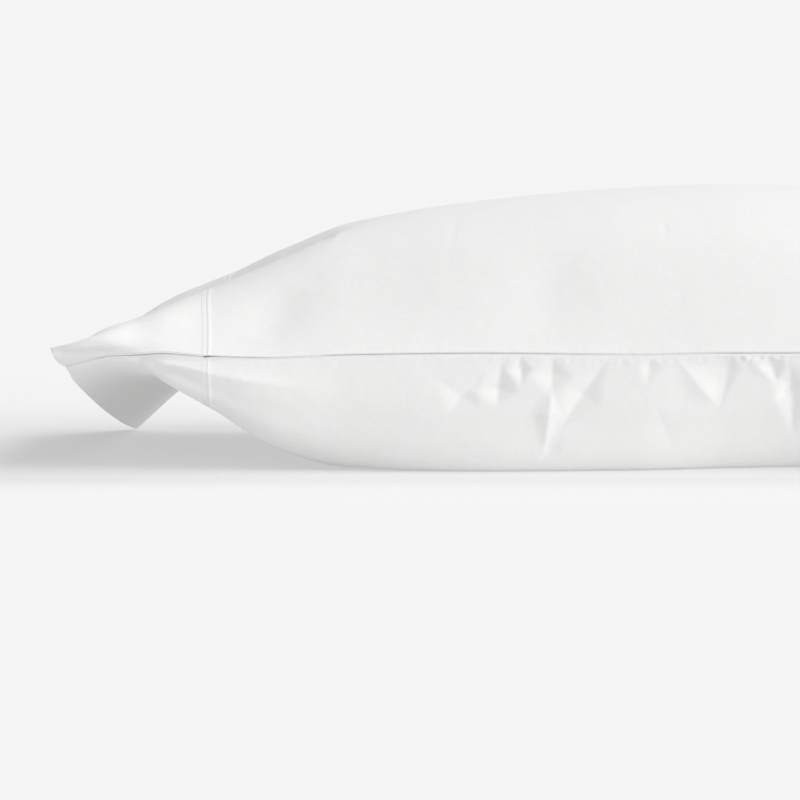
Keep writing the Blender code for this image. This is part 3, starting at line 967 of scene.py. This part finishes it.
def percale_material():
    """White percale: a plain weave of fine yarns with faint slubs, matt with a soft sheen."""
    material, nodes, links, shader = new_material("percale")
    cloth = nodes.new("ShaderNodeUVMap")
    cloth.uv_map = "cloth"
    split = nodes.new("ShaderNodeSeparateXYZ")
    links.new(cloth.outputs[0], split.inputs[0])
    turns = math.pi / YARN_PITCH
    warp, weft = [
        socket_math(nodes, links, "SINE", socket_math(nodes, links, "MULTIPLY", place, turns), 0.0)
        for place in split.outputs[:2]
    ]
    weave = socket_math(nodes, links, "MULTIPLY", warp, weft)
    slim, long = SLUB_STRETCH / SLUB, 1 / SLUB
    slub_along = stretched_noise(nodes, links, cloth.outputs[0], (long, slim, 1), 3.0)
    slub_across = stretched_noise(nodes, links, cloth.outputs[0], (slim, long, 1), 3.0)
    slubs = socket_math(nodes, links, "ADD", slub_along, slub_across)
    ramp = nodes.new("ShaderNodeMapRange")
    set_inputs(ramp, {"From Min": 0.6, "From Max": 1.4, "To Min": 0.955, "To Max": 1.0})
    links.new(slubs, ramp.inputs["Value"])
    tint = nodes.new("ShaderNodeVectorMath")
    tint.operation = "SCALE"
    tint.inputs[0].default_value = WHITE[:3]
    links.new(ramp.outputs[0], tint.inputs["Scale"])
    links.new(tint.outputs[0], shader.inputs["Base Color"])
    pressed = stretched_noise(nodes, links, cloth.outputs[0], (1 / PRESS, 1 / PRESS, 1), 2.0)
    height = socket_math(nodes, links, "MULTIPLY", weave, YARN_RISE)
    for texture, rise in ((slubs, SLUB_RISE), (pressed, PRESS_RISE)):
        share = socket_math(nodes, links, "MULTIPLY", texture, rise)
        height = socket_math(nodes, links, "ADD", height, share)
    add_relief(nodes, links, height, 0.8, 1.0)
    set_inputs(shader, {
        "Roughness": 0.85, "Specular IOR Level": 0.25, "Sheen Weight": 0.12, "Sheen Roughness": 0.6,
    })
    return material


def thread_material():
    """White sewing thread, a little duller than the cloth, with its twist as bump."""
    material, nodes, links, shader = new_material("thread")
    place = nodes.new("ShaderNodeTexCoord")
    twist = nodes.new("ShaderNodeTexWave")
    set_inputs(twist, {"Scale": TWIST_SCALE})
    links.new(place.outputs["Object"], twist.inputs["Vector"])
    add_relief(nodes, links, twist.outputs["Fac"], 0.3, TWIST_RISE)
    set_inputs(shader, {"Base Color": THREAD_WHITE, "Roughness": 0.7})
    return material


def build_cloth():
    """Both panels and all their stitches, riding on the part, as the pieces of the top and the bottom."""
    percale, thread = percale_material(), thread_material()
    places = spread(ROW_RUNS)
    across = spread(COLUMN_RUNS) / CLOTH_WIDTH
    grids = cloth_grids(places, across)
    inner = inner_grids(grids, places, across)
    pieces = {}
    for name, outer, lining, faces_up in zip(("top", "bottom"), grids, inner, (True, False)):
        piece = cloth_piece(name + "_cloth", outer, lining, places, across, percale)
        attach(piece, "root")
        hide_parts(name + "_panel")
        rows = hem_rows(outer, places, across, faces_up)
        pieces[name] = [piece, add_stitches(name + "_hem_stitches", rows, thread)]
    names = ("near_seam_stitches", "far_seam_stitches", "end_seam_stitches")
    for name, row in zip(names, seam_rows(grids)):
        pieces["top"].append(add_stitches(name, [row], thread, across=True))
    return pieces


def add_stitches(name, rows, thread, across=False):
    """Rows of stitches, riding on the part."""
    piece = stitches_piece(name, rows, thread, across)
    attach(piece, "root")
    return piece


# --- floor, light and camera ---

CAMERA_AT = (-0.129, -3.2152, 0.2617)
CAMERA_DOWN = 4.0           # degrees below the horizontal
CAMERA_LENS = 205.2
SENSOR = 36.0
FLOOR_HALF = 15.0
FLOOR_DROP = 0.0002         # how far it lies below the part, so that no faces coincide
BACKDROP = 0.913            # the pale studio tone of the photograph
FLOOR_WHITE = 0.450         # with its glow and the lights, this gives the floor the backdrop's tone
FLOOR_GLOW = 0.368          # the floor's own light, as of a lit table, which keeps its shadows soft
SKY = 0.50                  # even light from all round

# Soft boxes: degrees from the camera's side towards the right, degrees up, power, width in degrees, and the
# panel that each one lights.
SoftBox = namedtuple("SoftBox", "name azimuth elevation power width lights")
SOFT_BOXES = [
    SoftBox("key_top", 50, 35, 1.50, 40, "top"),
    SoftBox("back_top", 120, 45, 1.26, 40, "top"),
    SoftBox("key_side", 55, 14, 1.86, 24, "bottom"),
]


def add_floor():
    """A plain pale floor."""
    data = bpy.data.meshes.new("floor")
    signs = ((-1, -1), (1, -1), (1, 1), (-1, 1))
    data.from_pydata([(x * FLOOR_HALF, y * FLOOR_HALF, -FLOOR_DROP) for x, y in signs], [], [(0, 1, 2, 3)])
    material, _, _, shader = new_material("floor")
    set_inputs(shader, {
        "Base Color": (FLOOR_WHITE, FLOOR_WHITE, FLOOR_WHITE, 1), "Roughness": 1, "Specular IOR Level": 0,
        "Emission Color": (1, 1, 1, 1), "Emission Strength": FLOOR_GLOW,
    })
    floor = new_object("floor", data, material)
    return floor


def add_world():
    """A pale backdrop, and even light from all round."""
    world = bpy.data.worlds.new("studio")
    world.use_nodes = True
    bpy.context.scene.world = world
    nodes, links = world.node_tree.nodes, world.node_tree.links
    nodes.clear()
    dome = nodes.new("ShaderNodeBackground")
    plain = nodes.new("ShaderNodeBackground")
    for node, strength in ((dome, SKY), (plain, BACKDROP)):
        set_inputs(node, {"Color": (1, 1, 1, 1), "Strength": strength})
    path = nodes.new("ShaderNodeLightPath")
    mix = nodes.new("ShaderNodeMixShader")
    links.new(path.outputs["Is Camera Ray"], mix.inputs[0])
    links.new(dome.outputs[0], mix.inputs[1])
    links.new(plain.outputs[0], mix.inputs[2])
    output = nodes.new("ShaderNodeOutputWorld")
    links.new(mix.outputs[0], output.inputs["Surface"])


def add_soft_boxes(pieces, floor):
    """The soft boxes, each flagged off one of the panels, as the photograph's shading has it."""
    for box in SOFT_BOXES:
        lamp = bpy.data.lights.new(box.name, "SUN")
        lamp.energy = box.power
        lamp.angle = math.radians(box.width)
        light = new_object(box.name, lamp)
        light.rotation_euler = (math.radians(90 - box.elevation), 0, math.radians(box.azimuth))
        lit = bpy.data.collections.new("lit by " + box.name)
        for piece in pieces[box.lights] + [floor]:
            lit.objects.link(piece)
        light.light_linking.receiver_collection = lit


def add_camera():
    """The photograph's view: almost level, a little above the near side."""
    data = bpy.data.cameras.new("camera")
    data.lens = CAMERA_LENS
    data.sensor_width = SENSOR
    camera = new_object("camera", data)
    camera.location = CAMERA_AT
    camera.rotation_euler = (math.radians(90 - CAMERA_DOWN), 0, 0)
    bpy.context.scene.camera = camera
    bpy.context.scene.view_settings.view_transform = "Standard"


add_camera()
add_world()
add_soft_boxes(build_cloth(), add_floor())
